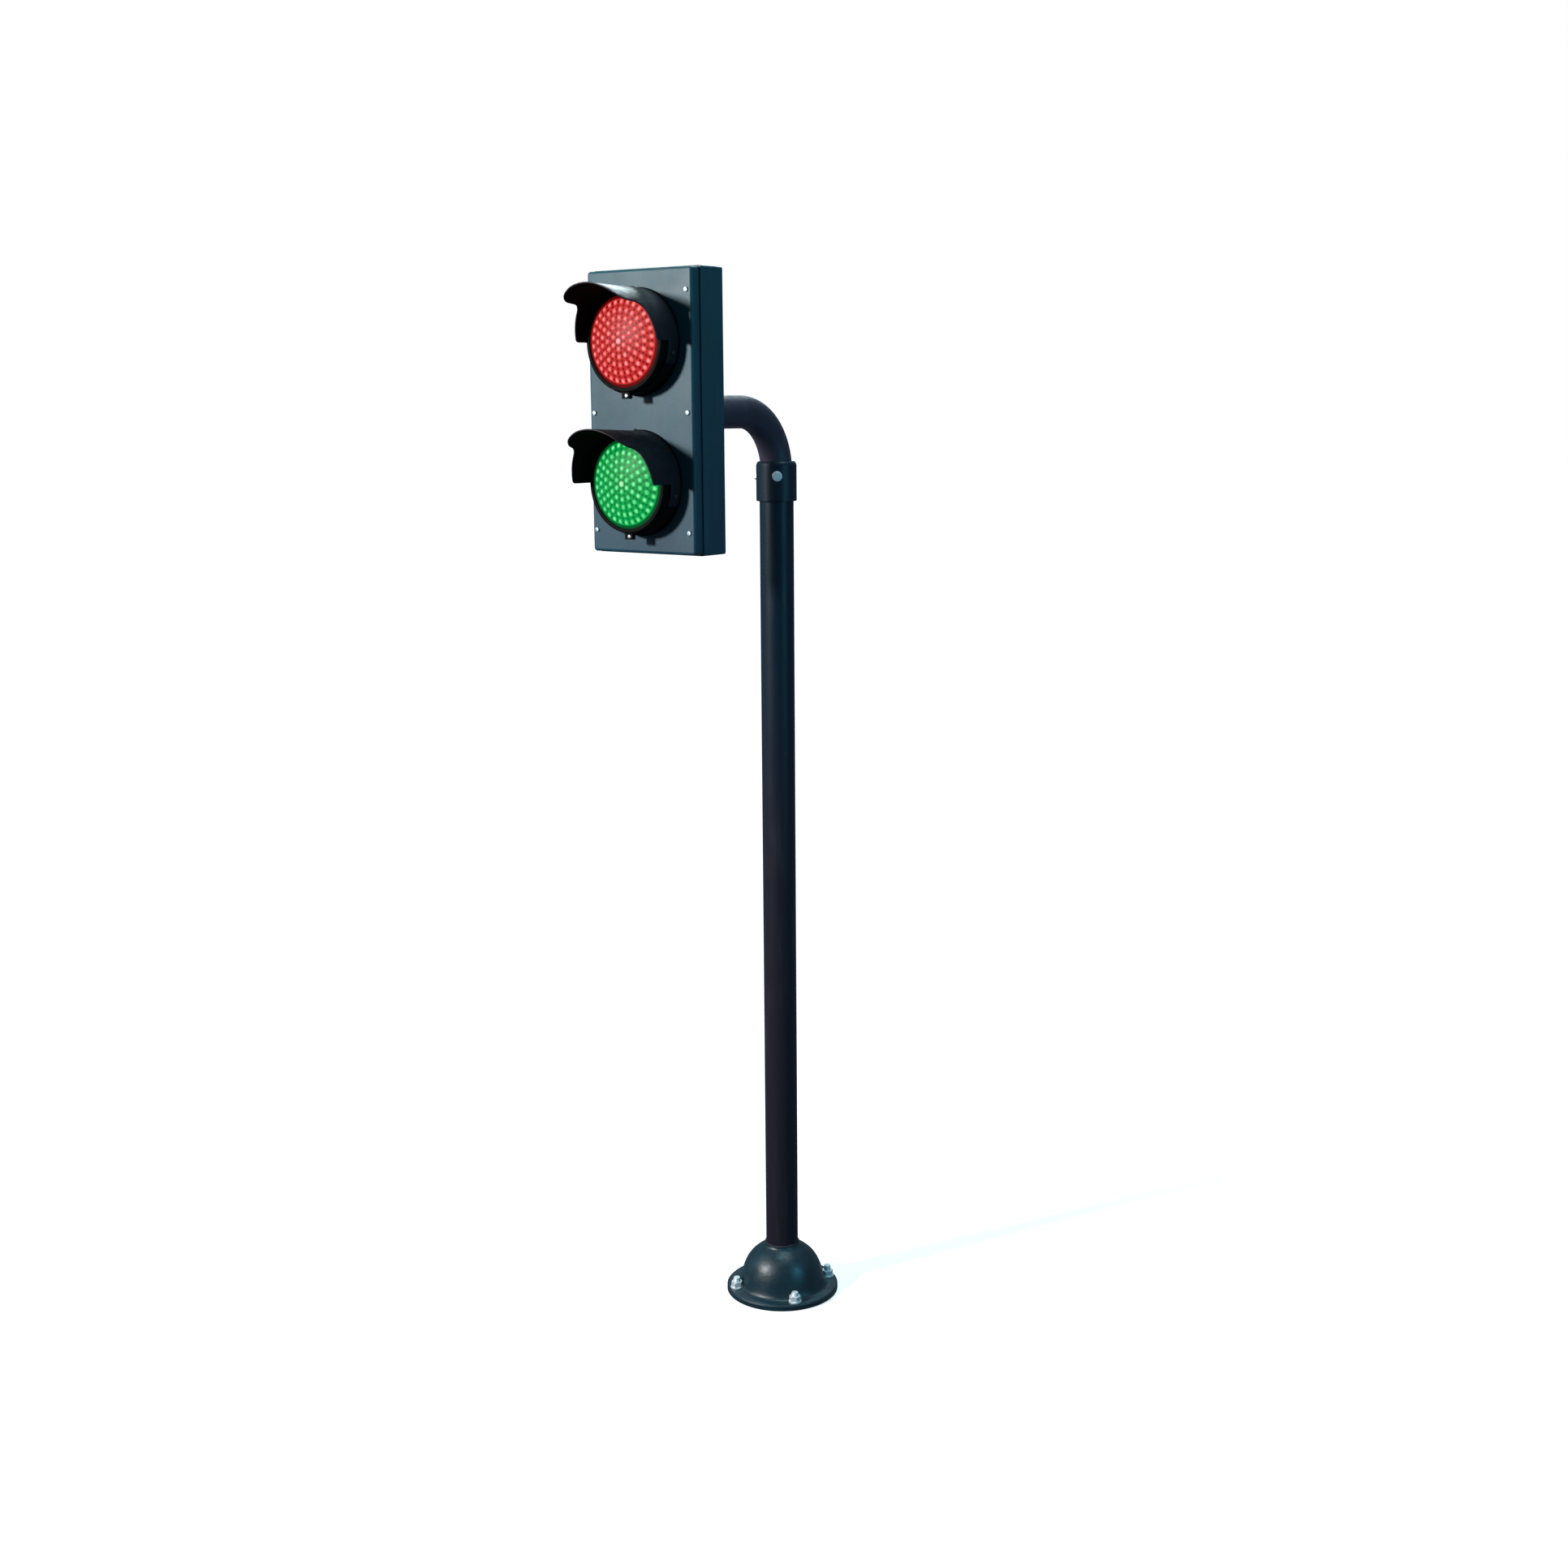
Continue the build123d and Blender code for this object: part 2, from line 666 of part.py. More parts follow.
def visor_screws():
    """Black pan-head screws, driven inward through the visor into the barrel."""
    seat = VISOR_R + VISOR_T

    def screw(angle):
        head = turned([(0, seat), (4.4, seat), (4.4, seat + 1.4), (3, seat + 2.6), (0, seat + 2.9)])
        shank = rod(2, BARREL_SEAT_R - 3.5, seat)
        return Rot(0, 0, angle) * radial(head + shank, VISOR_SCREW_Z)

    return [screw(angle) for angle in VISOR_SCREW_ANGLES]


# ---- write every node ---------------------------------------------------------------
save("base_flange", base_flange())
save("anchor_washers", group(anchor_washers()))
save("anchor_nuts", group(anchor_nuts()))
save("post_tube", post_tube())
save("collar", collar())
save("collar_screws", group(collar_screws()))
save("spigot_stop_ring", spigot_stop_ring())

save("arm_tube", arm_tube())
save("spigot_bush", spigot_bush())
save("arm_flange", arm_flange())
save("arm_grommet", arm_grommet())

save("rear_housing", rear_housing())
save("front_cover", front_cover())
save("cover_gasket", cover_gasket())
save("cover_screws", group(cover_screws()))
save("cover_screw_sleeves", group(cover_screw_sleeves()))
save("cover_insert_nuts", group(cover_insert_nuts()))
save("drain_plug", drain_plug())
save("stiffener", stiffener())
save("levelling_bolts", group(levelling_bolts()))
save("levelling_seals", group(levelling_seals()))
save("levelling_washers", group(levelling_washers()))
save("levelling_nuts", group(levelling_nuts()))
save("equipment_plate", equipment_plate())
save("power_supply", power_supply())
save("terminal_block", terminal_block())
save("earth_stud", earth_stud())

SINGLE_LAMP_PARTS = {
    "bezel": bezel,
    "clip_screw": clip_screw,
    "bezel_gasket": bezel_gasket,
    "clamp_ring": clamp_ring,
    "lens": lens,
    "lens_gasket": lens_gasket,
    "lamp_can": lamp_can,
    "lamp_gland": lamp_gland,
    "led_board": led_board,
    "driver_board": driver_board,
}
for colour, side in (("red", 1), ("green", -1)):
    for name, make in SINGLE_LAMP_PARTS.items():
        save(f"{colour}_{name}", on_lamp(make(), side))
    save(f"{colour}_visor", on_lamp(visor(VISOR_CHEEK[colour]), side))
    save(f"{colour}_leds", group([on_lamp(s, side) for s in leds()]))
    save(f"{colour}_visor_screws", group([on_lamp(s, side) for s in visor_screws()]))
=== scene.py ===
import json
from math import asin, cos, pi, radians, sin, sqrt

import bmesh
import bpy
import numpy as np
from mathutils import Matrix, Vector


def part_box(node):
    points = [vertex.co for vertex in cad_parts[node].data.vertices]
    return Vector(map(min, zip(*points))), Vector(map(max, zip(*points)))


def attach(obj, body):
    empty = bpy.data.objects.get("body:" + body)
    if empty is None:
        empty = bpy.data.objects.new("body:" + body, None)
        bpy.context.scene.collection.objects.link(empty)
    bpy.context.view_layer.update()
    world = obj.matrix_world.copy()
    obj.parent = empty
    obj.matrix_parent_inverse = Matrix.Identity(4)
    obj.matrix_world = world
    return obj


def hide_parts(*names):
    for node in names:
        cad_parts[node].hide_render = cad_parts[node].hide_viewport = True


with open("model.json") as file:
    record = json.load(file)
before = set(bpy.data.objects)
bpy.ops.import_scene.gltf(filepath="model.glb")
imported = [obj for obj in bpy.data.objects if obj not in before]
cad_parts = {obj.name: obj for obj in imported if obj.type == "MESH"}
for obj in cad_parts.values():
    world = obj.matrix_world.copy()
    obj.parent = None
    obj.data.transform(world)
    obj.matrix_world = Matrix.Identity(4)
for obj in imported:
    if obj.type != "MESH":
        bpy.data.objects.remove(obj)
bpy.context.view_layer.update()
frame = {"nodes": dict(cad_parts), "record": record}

# The looks of a pole-mounted red and green signal. Metres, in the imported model's frame.
MM = 0.001
COLOURS = ("red", "green")


# ---- camera, floor and light ----------------------------------------------------------
CAMERA_AT = (2.623, -3.486, 2.081)
CAMERA_AZIMUTH = 36.8
CAMERA_ELEVATION = 11.0
CAMERA_ROLL = -0.4
CAMERA_LENS = 44.6
SENSOR = 36.0

FLOOR_SIZE = 120
FLOOR_DROP = 0.6 * MM      # keeps the floor and the flange's underside apart
FLOOR_FADE = (0.8, 5.0)    # distances between which the floor turns as white as the backdrop
FLOOR_GLOW = (0.52, 1.0)

AMBIENT_COLOUR = (0.68, 0.82, 1.0, 1)
AMBIENT_STRENGTH = 0.14
FACE = (0, -0.45, 2.07)
MIDDLE = (0, -0.1, 1.2)
HOODS = (0, -0.5, 2.2)
ABOVE = (0, -0.3, 2.0)
# name, place, what it is aimed at, size, watts, colour
LIGHTS = (
    ("key", (-1.75, -3.85, 2.9), FACE, (0.4, 0.4), 235, (1.0, 0.99, 0.97)),
    ("sheen", (-2.75, -3.0, 3.0), FACE, (0.8, 0.6), 14, (1.0, 0.97, 0.94)),
    ("left_strip", (-2.6, -0.9, 1.7), MIDDLE, (0.3, 2.4), 5, (0.30, 0.80, 1.0)),
    ("right_strip", (3.2, -0.2, 1.9), MIDDLE, (0.3, 2.0), 28, (0.13, 0.72, 1.0)),
    ("top", (0.1, 0.2, 4.4), ABOVE, (1.2, 1.2), 60, (0.66, 0.95, 1.0)),
    ("back_top", (-1.45, 2.0, 3.9), HOODS, (0.9, 0.9), 60, (0.80, 0.97, 1.0)),
)


def aim(azimuth, elevation, roll):
    """Rotation of a camera that looks back along the given direction."""
    a, e, r = radians(azimuth), radians(elevation), radians(roll)
    back = Vector((sin(a) * cos(e), -cos(a) * cos(e), sin(e)))
    right = (-back).cross(Vector((0, 0, 1))).normalized()
    up = right.cross(-back)
    tilted_right = right * cos(r) + up * sin(r)
    tilted_up = up * cos(r) - right * sin(r)
    return Matrix((tilted_right, tilted_up, back)).transposed()


def make_camera():
    """The camera that the comparison view is taken with."""
    data = bpy.data.cameras.new("camera")
    data.sensor_width = SENSOR
    data.lens = CAMERA_LENS
    data.clip_end = 200
    camera = bpy.data.objects.new("camera", data)
    turned = aim(CAMERA_AZIMUTH, CAMERA_ELEVATION, CAMERA_ROLL).to_4x4()
    camera.matrix_world = Matrix.Translation(CAMERA_AT) @ turned
    bpy.context.scene.collection.objects.link(camera)
    bpy.context.scene.camera = camera


def softbox(name, at, target, size, watts, colour):
    """A rectangular light at a place, turned towards a target."""
    data = bpy.data.lights.new(name, "AREA")
    data.shape = "RECTANGLE"
    data.size, data.size_y = size
    data.energy = watts
    data.color = colour
    light = bpy.data.objects.new(name, data)
    light.location = at
    light.rotation_euler = (Vector(target) - Vector(at)).to_track_quat("-Z", "Y").to_euler()
    bpy.context.scene.collection.objects.link(light)


def make_floor():
    """White floor that fades to the backdrop's white away from the object."""
    bpy.ops.mesh.primitive_grid_add(
        x_subdivisions=4, y_subdivisions=4, size=FLOOR_SIZE, location=(0, 0, -FLOOR_DROP)
    )
    floor = bpy.context.object
    floor.name = "floor"
    floor.visible_glossy = False
    floor.visible_diffuse = False
    paint = Paint("studio_floor", (0.80, 0.81, 0.82), 0.9)
    distance = paint.node("ShaderNodeVectorMath", operation="LENGTH")
    paint.link(paint.coords, distance.inputs[0])
    glow = paint.remap(distance.outputs["Value"], *FLOOR_FADE, *FLOOR_GLOW)
    paint.link(glow, paint.shader.inputs["Emission Strength"])
    paint.set("Emission Color", (1, 1, 1, 1))
    floor.data.materials.append(paint.material)


def make_light():
    """A white backdrop for the camera, a dim cool ambient for the object, and the softboxes."""
    scene = bpy.context.scene
    scene.view_settings.view_transform = "Standard"
    world = bpy.data.worlds.new("studio")
    scene.world = world
    world.use_nodes = True
    tree = world.node_tree
    tree.nodes.clear()
    output = tree.nodes.new("ShaderNodeOutputWorld")
    seen = tree.nodes.new("ShaderNodeBackground")
    seen.inputs["Color"].default_value = (1, 1, 1, 1)
    ambient = tree.nodes.new("ShaderNodeBackground")
    ambient.inputs["Color"].default_value = AMBIENT_COLOUR
    ambient.inputs["Strength"].default_value = AMBIENT_STRENGTH
    mix = tree.nodes.new("ShaderNodeMixShader")
    path = tree.nodes.new("ShaderNodeLightPath")
    tree.links.new(path.outputs["Is Camera Ray"], mix.inputs[0])
    tree.links.new(ambient.outputs[0], mix.inputs[1])
    tree.links.new(seen.outputs[0], mix.inputs[2])
    tree.links.new(mix.outputs[0], output.inputs["Surface"])
    for light in LIGHTS:
        softbox(*light)


# ---- materials ------------------------------------------------------------------------
NOISE_ROUGHNESS = 0.55
EDGE_REACH = 0.12          # how far the normals part, as a cosine, where an edge counts as full


class Paint:
    """A node material: a Principled shader, and short calls for what feeds it."""

    def __init__(self, name, colour, roughness, metallic=0.0):
        self.material = bpy.data.materials.new(name)
        self.material.use_nodes = True
        self.tree = self.material.node_tree
        self.tree.nodes.clear()
        output = self.node("ShaderNodeOutputMaterial")
        self.shader = self.node("ShaderNodeBsdfPrincipled")
        self.tree.links.new(self.shader.outputs[0], output.inputs["Surface"])
        self.shader.inputs["Base Color"].default_value = (*colour, 1)
        self.shader.inputs["Roughness"].default_value = roughness
        self.shader.inputs["Metallic"].default_value = metallic
        self.coords = self.node("ShaderNodeTexCoord").outputs["Object"]

    def node(self, kind, **settings):
        made = self.tree.nodes.new(kind)
        for key, value in settings.items():
            setattr(made, key, value)
        return made

    def link(self, source, target):
        self.tree.links.new(source, target)

    def set(self, socket, value):
        self.shader.inputs[socket].default_value = value

    def stretched(self, scale):
        """Coordinates scaled along each axis: below 1 draws a pattern out."""
        mapping = self.node("ShaderNodeMapping")
        mapping.inputs["Scale"].default_value = scale
        self.link(self.coords, mapping.inputs["Vector"])
        return mapping.outputs[0]

    def noise(self, size_mm, detail, vector=None):
        """Noise whose blotches are about size_mm across."""
        made = self.node("ShaderNodeTexNoise")
        made.inputs["Scale"].default_value = 1 / (size_mm * MM)
        made.inputs["Detail"].default_value = detail
        made.inputs["Roughness"].default_value = NOISE_ROUGHNESS
        self.link(vector or self.coords, made.inputs["Vector"])
        return made.outputs["Fac"]

    def cells(self, size_mm, feature="F1", output="Distance"):
        """Voronoi cells about size_mm across."""
        made = self.node("ShaderNodeTexVoronoi", feature=feature)
        made.inputs["Scale"].default_value = 1 / (size_mm * MM)
        self.link(self.coords, made.inputs["Vector"])
        return made.outputs[output]

    def remap(self, value, low, high, to_low=0.0, to_high=1.0):
        made = self.node("ShaderNodeMapRange")
        made.inputs["From Min"].default_value = low
        made.inputs["From Max"].default_value = high
        made.inputs["To Min"].default_value = to_low
        made.inputs["To Max"].default_value = to_high
        self.link(value, made.inputs["Value"])
        return made.outputs[0]

    def math(self, how, a, b):
        made = self.node("ShaderNodeMath", operation=how)
        for socket, value in zip(made.inputs, (a, b)):
            if isinstance(value, (int, float)):
                socket.default_value = value
            else:
                self.link(value, socket)
        return made.outputs[0]

    def blend(self, factor, a, b):
        """Colour a where factor is 0, b where it is 1. Each is a colour or a socket."""
        made = self.node("ShaderNodeMix", data_type="RGBA")
        self.link(factor, made.inputs["Factor"])
        for socket, value in ((made.inputs["A"], a), (made.inputs["B"], b)):
            # the node has inputs of the same name for other kinds of data
            target = [s for s in made.inputs if s.name == socket.name and s.type == "RGBA"][0]
            if isinstance(value, tuple):
                target.default_value = (*value, 1)
            else:
                self.link(value, target)
        return [s for s in made.outputs if s.type == "RGBA"][0]

    def up_facing(self):
        """1 on surfaces that face up, 0 on walls and undersides."""
        geometry = self.node("ShaderNodeNewGeometry")
        split = self.node("ShaderNodeSeparateXYZ")
        self.link(geometry.outputs["Normal"], split.inputs[0])
        return self.remap(split.outputs["Z"], 0.25, 0.95)

    def edges(self, radius_mm):
        """1 along sharp edges, 0 on flats: where a rounded normal parts from the true one."""
        rounded = self.node("ShaderNodeBevel", samples=4)
        rounded.inputs["Radius"].default_value = radius_mm * MM
        true = self.node("ShaderNodeNewGeometry")
        dot = self.node("ShaderNodeVectorMath", operation="DOT_PRODUCT")
        self.link(rounded.outputs[0], dot.inputs[0])
        self.link(true.outputs["Normal"], dot.inputs[1])
        return self.remap(dot.outputs["Value"], 1.0, 1.0 - EDGE_REACH)

    def relief(self, layers, edge_mm=0.6):
        """Bumps from (height, depth in mm) layers, over edges softened by edge_mm."""
        below = None
        if edge_mm:
            rounded = self.node("ShaderNodeBevel", samples=4)
            rounded.inputs["Radius"].default_value = edge_mm * MM
            below = rounded.outputs[0]
        for height, depth_mm in layers:
            bump = self.node("ShaderNodeBump")
            bump.inputs["Distance"].default_value = depth_mm * MM
            bump.inputs["Strength"].default_value = 1.0
            self.link(height, bump.inputs["Height"])
            if below is not None:
                self.link(below, bump.inputs["Normal"])
            below = bump.outputs[0]
        self.link(below, self.shader.inputs["Normal"])

    def finish_colour(self, socket):
        self.link(socket, self.shader.inputs["Base Color"])

    def finish_roughness(self, value):
        self.link(value, self.shader.inputs["Roughness"])


def lighter(colour, by):
    """The colour times a factor: darker below 1."""
    return tuple(min(1.0, c * by) for c in colour)


STREAK_GREY = (0.22, 0.25, 0.26)
POWDER_DUST = (0.16, 0.20, 0.21)
CAST_DIRT = (0.14, 0.17, 0.18)
CHIPPED_METAL = (0.10, 0.10, 0.10)
ZINC_BLOOM = (0.60, 0.60, 0.58)
MOULDING_DUST = (0.30, 0.29, 0.27)
POST_FADE = (0.9, 1.75)    # heights between which the post turns from its foot colour to its own
# heights between which the head's paint turns to a darker teal: painted shade, the face darker towards the
# bottom
HEAD_SHADE_FADE = (1.82, 2.34)
FADE_WANDER = 0.25         # how far mottling moves that change up and down


def powder_coat(name, colour, roughness, gloss, low_tone_and_shade=None, fade=None):
    """Baked powder: orange peel, mottling, dust on ledges, rubbed edges, and another tone lower down, which
    on the head is painted shade: the face darker towards the bottom.
    """
    paint = Paint(name, colour, roughness)
    mottled = paint.remap(paint.noise(160, 4), 0.3, 0.7)
    base = paint.blend(mottled, lighter(colour, 0.86), lighter(colour, 1.16))
    if low_tone_and_shade:
        split = paint.node("ShaderNodeSeparateXYZ")
        paint.link(paint.coords, split.inputs[0])
        uneven_height = paint.math("ADD", split.outputs["Z"], paint.math("MULTIPLY", mottled, FADE_WANDER))
        base = paint.blend(paint.remap(uneven_height, *fade, 1.0, 0.0), base, low_tone_and_shade)
    speck = paint.remap(paint.noise(1.6, 2), 0.62, 0.75, 0, 0.35)
    base = paint.blend(speck, base, lighter(colour, 1.9))
    streak = paint.noise(34, 5, vector=paint.stretched((1, 1, 0.10)))
    base = paint.blend(paint.remap(streak, 0.55, 0.85, 0, 0.07), base, STREAK_GREY)
    settled = paint.math("MULTIPLY", paint.up_facing(), paint.remap(paint.noise(22, 5), 0.35, 0.7, 0.2, 1.0))
    base = paint.blend(paint.math("MULTIPLY", settled, 0.10), base, POWDER_DUST)
    broken = paint.remap(paint.noise(5, 4), 0.48, 0.62)
    rubbed = paint.math("MULTIPLY", paint.math("MULTIPLY", paint.edges(1.1), broken), 0.25)
    base = paint.blend(rubbed, base, lighter(colour, 4.5))
    paint.finish_colour(base)
    uneven = paint.remap(paint.noise(60, 3), 0.3, 0.7, roughness - 0.03, roughness + 0.04)
    paint.finish_roughness(paint.math("ADD", uneven, paint.math("MULTIPLY", settled, 0.25)))
    paint.set("Specular IOR Level", gloss)
    paint.relief([(paint.noise(2.6, 2), 0.16), (paint.noise(0.7, 2), 0.03)])
    return paint.material


def cast_coat(name, colour):
    """Powder coat over sand-cast iron: a coarser skin with pits, and more settled dirt."""
    paint = Paint(name, colour, 0.42)
    mottled = paint.remap(paint.noise(45, 5), 0.3, 0.7)
    base = paint.blend(mottled, lighter(colour, 0.8), lighter(colour, 1.25))
    dirt = paint.math("MULTIPLY", paint.up_facing(), paint.remap(paint.noise(14, 6), 0.4, 0.72))
    base = paint.blend(paint.math("MULTIPLY", dirt, 0.04), base, CAST_DIRT)
    chipped = paint.remap(paint.noise(7, 6), 0.72, 0.74)
    base = paint.blend(paint.math("MULTIPLY", chipped, 0.35), base, CHIPPED_METAL)
    base = paint.blend(paint.math("MULTIPLY", paint.edges(1.6), 0.2), base, lighter(colour, 2.5))
    paint.finish_colour(base)
    paint.finish_roughness(paint.remap(paint.noise(30, 4), 0.3, 0.7, 0.30, 0.52))
    paint.set("Coat Weight", 0.2)
    paint.set("Coat Roughness", 0.3)
    pits = paint.remap(paint.cells(3.2), 0.0, 0.35)
    paint.relief([(paint.noise(5, 5), 0.5), (pits, 0.07), (paint.noise(1.1, 2), 0.06)], edge_mm=1.6)
    return paint.material


def zinc(name, colour, metallic):
    """Zinc plate: fine turned lines, soft spangle and a little white bloom."""
    paint = Paint(name, colour, 0.3, metallic)
    spangle = paint.cells(2.4, output="Color")
    grey = paint.node("ShaderNodeRGBToBW")
    paint.link(spangle, grey.inputs[0])
    base = paint.blend(paint.remap(grey.outputs[0], 0.2, 0.8), lighter(colour, 0.82), lighter(colour, 1.12))
    bloom = paint.remap(paint.noise(3.5, 5), 0.56, 0.76, 0, 0.5)
    base = paint.blend(bloom, base, ZINC_BLOOM)
    paint.finish_colour(base)
    paint.finish_roughness(paint.remap(paint.noise(2.2, 4), 0.3, 0.7, 0.34, 0.58))
    turned_lines = paint.noise(0.5, 2, vector=paint.stretched((1, 1, 0.15)))
    paint.relief([(turned_lines, 0.02), (paint.noise(1.5, 3), 0.04)], edge_mm=0.4)
    return paint.material


def moulded(name, colour, grain_mm=0.9, grain_depth=0.05, roughness=0.5, dust=0.12, gloss=0.5):
    """Moulded plastic: leather-like grain, faint flow marks, dust and paler rubbed edges."""
    paint = Paint(name, colour, roughness)
    flow = paint.noise(40, 4, vector=paint.stretched((1, 0.4, 1)))
    base = paint.blend(paint.remap(flow, 0.3, 0.7), lighter(colour, 0.8), lighter(colour, 1.3))
    settled = paint.math("MULTIPLY", paint.up_facing(), paint.remap(paint.noise(9, 6), 0.42, 0.7))
    base = paint.blend(paint.math("MULTIPLY", settled, dust), base, MOULDING_DUST)
    base = paint.blend(paint.math("MULTIPLY", paint.edges(0.8), 0.3), base, lighter(colour, 5))
    paint.finish_colour(base)
    paint.finish_roughness(paint.remap(paint.noise(25, 3), 0.3, 0.7, roughness - 0.08, roughness + 0.1))
    paint.set("Specular IOR Level", gloss)
    grain = paint.remap(paint.cells(grain_mm), 0.0, 0.7)
    paint.relief([(grain, grain_depth), (flow, 0.15)], edge_mm=0.5)
    return paint.material


def rubber(name):
    """Matt rubber with scuffs."""
    paint = Paint(name, (0.014, 0.014, 0.015), 0.75)
    base = paint.blend(paint.remap(paint.noise(6, 5), 0.4, 0.7), (0.010, 0.010, 0.011), (0.040, 0.040, 0.042))
    paint.finish_colour(base)
    paint.relief([(paint.noise(0.6, 3), 0.04), (paint.noise(4, 2), 0.1)], edge_mm=0.3)
    return paint.material


def bare_metal(name, colour):
    """Rolled or turned metal with fine lines along Z and smudges."""
    paint = Paint(name, colour, 0.34, metallic=1.0)
    lines = paint.noise(0.5, 2, vector=paint.stretched((1, 1, 0.03)))
    base = paint.blend(paint.remap(lines, 0.3, 0.7), lighter(colour, 0.85), lighter(colour, 1.1))
    paint.finish_colour(base)
    paint.finish_roughness(paint.remap(paint.noise(18, 4), 0.3, 0.7, 0.26, 0.48))
    paint.relief([(lines, 0.02)], edge_mm=0.4)
    return paint.material


def circuit_board(name):
    """Green solder mask with paler traces."""
    paint = Paint(name, (0.015, 0.11, 0.05), 0.35)
    traces = paint.remap(paint.cells(5, feature="DISTANCE_TO_EDGE"), 0.02, 0.06)
    base = paint.blend(traces, (0.05, 0.24, 0.11), (0.012, 0.09, 0.04))
    paint.finish_colour(base)
    paint.relief([(traces, 0.04)], edge_mm=0.2)
    return paint.material


LENS_LAYERS = ("glow", "well", "centre", "rim")


def lens_plastic(name, dark, middle, bright, core):
    """Tinted lens lit from behind: the mesh's own layers say where its lenslets and wells are."""
    paint = Paint(name, lighter(dark, 0.25), 0.42)

    def layer(kind):
        return paint.node("ShaderNodeAttribute", attribute_name=kind).outputs["Fac"]

    glow, well, centre, rim = (layer(kind) for kind in LENS_LAYERS)
    lit = paint.blend(paint.remap(well, 0.2, 0.7), middle, dark)
    uneven = paint.remap(paint.noise(17, 2), 0.35, 0.65, 0.65, 1.0)
    lit = paint.blend(paint.math("MULTIPLY", paint.remap(glow, 0.24, 0.62), uneven), lit, bright)
    hottest = paint.math("MULTIPLY", paint.remap(glow, 0.70, 1.0), paint.remap(uneven, 0.65, 1.0))
    lit = paint.blend(hottest, lit, core)
    lit = paint.blend(paint.remap(centre, 0.2, 0.9), lit, core)
    lit = paint.blend(paint.remap(rim, 0.0, 1.0, 0.0, 0.96), lit, lighter(dark, 0.3))
    unlit = paint.blend(paint.remap(well, 0.25, 0.8), lighter(middle, 0.08), lighter(dark, 0.08))
    paint.finish_colour(unlit)
    paint.link(lit, paint.shader.inputs["Emission Color"])
    paint.set("Emission Strength", 0.98)
    paint.set("Specular IOR Level", 0.08)
    paint.relief([(paint.noise(1.3, 2), 0.03)], edge_mm=0)
    return paint.material


NAVY = (0.0012, 0.0110, 0.0230)
PLUM = (0.0150, 0.0120, 0.0215)
TEAL = (0.003, 0.050, 0.072)
# darker teal for the head's lower part: painted shade
HEAD_PAINTED_SHADE = (0.0014, 0.028, 0.055)
CAST_TEAL = (0.0025, 0.023, 0.035)
HOOD_BLACK = (0.0115, 0.0095, 0.0145)
LINING_BLACK = (0.0020, 0.0020, 0.0022)
BARREL_BLACK = (0.0030, 0.0030, 0.0034)
OXIDE_BLACK = (0.015, 0.015, 0.017)
GREY = (0.20, 0.21, 0.22)
STEEL = (0.36, 0.36, 0.37)
ALUMINIUM = (0.62, 0.63, 0.65)
BRASS = (0.70, 0.50, 0.22)
BRIGHT_ZINC = (0.80, 0.87, 0.92)
DULL_ZINC = (0.44, 0.54, 0.60)
# near-white zinc for the collar's set screws: a painted highlight, whiter than the other zinc so the screws
# show as bright glints
SET_SCREW_GLINT_WHITE = (0.90, 0.95, 0.98)
RED_EPOXY = (0.80, 0.10, 0.08)
GREEN_EPOXY = (0.10, 0.80, 0.25)
# in the wells, between the emitters, over an emitter, and at its middle
RED_LENS = ((0.26, 0.002, 0.002), (0.54, 0.024, 0.024), (1.0, 0.20, 0.19), (1.0, 0.50, 0.50))
GREEN_LENS = ((0.001, 0.19, 0.036), (0.002, 0.34, 0.068), (0.13, 0.86, 0.29), (0.50, 1.0, 0.52))


def make_materials():
    """Every material of the object, by slot or by the name of a node's own finish."""
    return {
        "post_coat": powder_coat("post_powder_coat", NAVY, 0.42, 0.22, low_tone_and_shade=PLUM, fade=POST_FADE),
        # the arm's coat is the post's plum made 2.1 times lighter: the plum is the paint, the extra lightness
        # is painted light making up for the key light the head shades off the arm
        "arm_coat_lightened": powder_coat("arm_powder_coat_painted_light", lighter(PLUM, 2.1), 0.5, 0.3),
        "cast_coat": cast_coat("cast_flange_coat", CAST_TEAL),
        # the head's coat darkens towards its bottom: painted shade
        "head_coat": powder_coat("head_powder_coat", TEAL, 0.48, 0.36, low_tone_and_shade=HEAD_PAINTED_SHADE, fade=HEAD_SHADE_FADE),
        "bright_zinc": zinc("zinc_plate", BRIGHT_ZINC, 0.45),
        "dull_zinc": zinc("zinc_screws", DULL_ZINC, 0.85),
        # whiter, barely metallic zinc on the collar's set screws: a painted highlight
        "glint_white_zinc": zinc("zinc_set_screws_glint", SET_SCREW_GLINT_WHITE, 0.15),
        "barrel_moulding": moulded("lamp_barrel", BARREL_BLACK, roughness=0.65, dust=0.03, gloss=0.05),
        "plain_steel": bare_metal("dull_steel", STEEL),
        "bare_aluminium": bare_metal("mill_aluminium", ALUMINIUM),
        "brass_fitting": bare_metal("turned_brass", BRASS),
        "black_moulding": moulded("black_moulding", HOOD_BLACK, dust=0.05, gloss=0.15),
        "black_flock": moulded("visor_inside", LINING_BLACK, 0.5, 0.08, 0.85, 0.0, gloss=0.06),
        "grey_moulding": moulded("grey_moulding", GREY),
        "black_screw": moulded("black_oxide", OXIDE_BLACK, 0.5, 0.02, 0.38),
        "black_rubber": rubber("black_rubber"),
        "circuit_board": circuit_board("solder_mask"),
        "red_emitter": moulded("red_emitter_epoxy", RED_EPOXY, 2.0, 0.01, 0.12, 0.0),
        "green_emitter": moulded("green_emitter_epoxy", GREEN_EPOXY, 2.0, 0.01, 0.12, 0.0),
        "red_lens_plastic": lens_plastic("red_lens_lit", *RED_LENS),
        "green_lens_plastic": lens_plastic("green_lens_lit", *GREEN_LENS),
    }


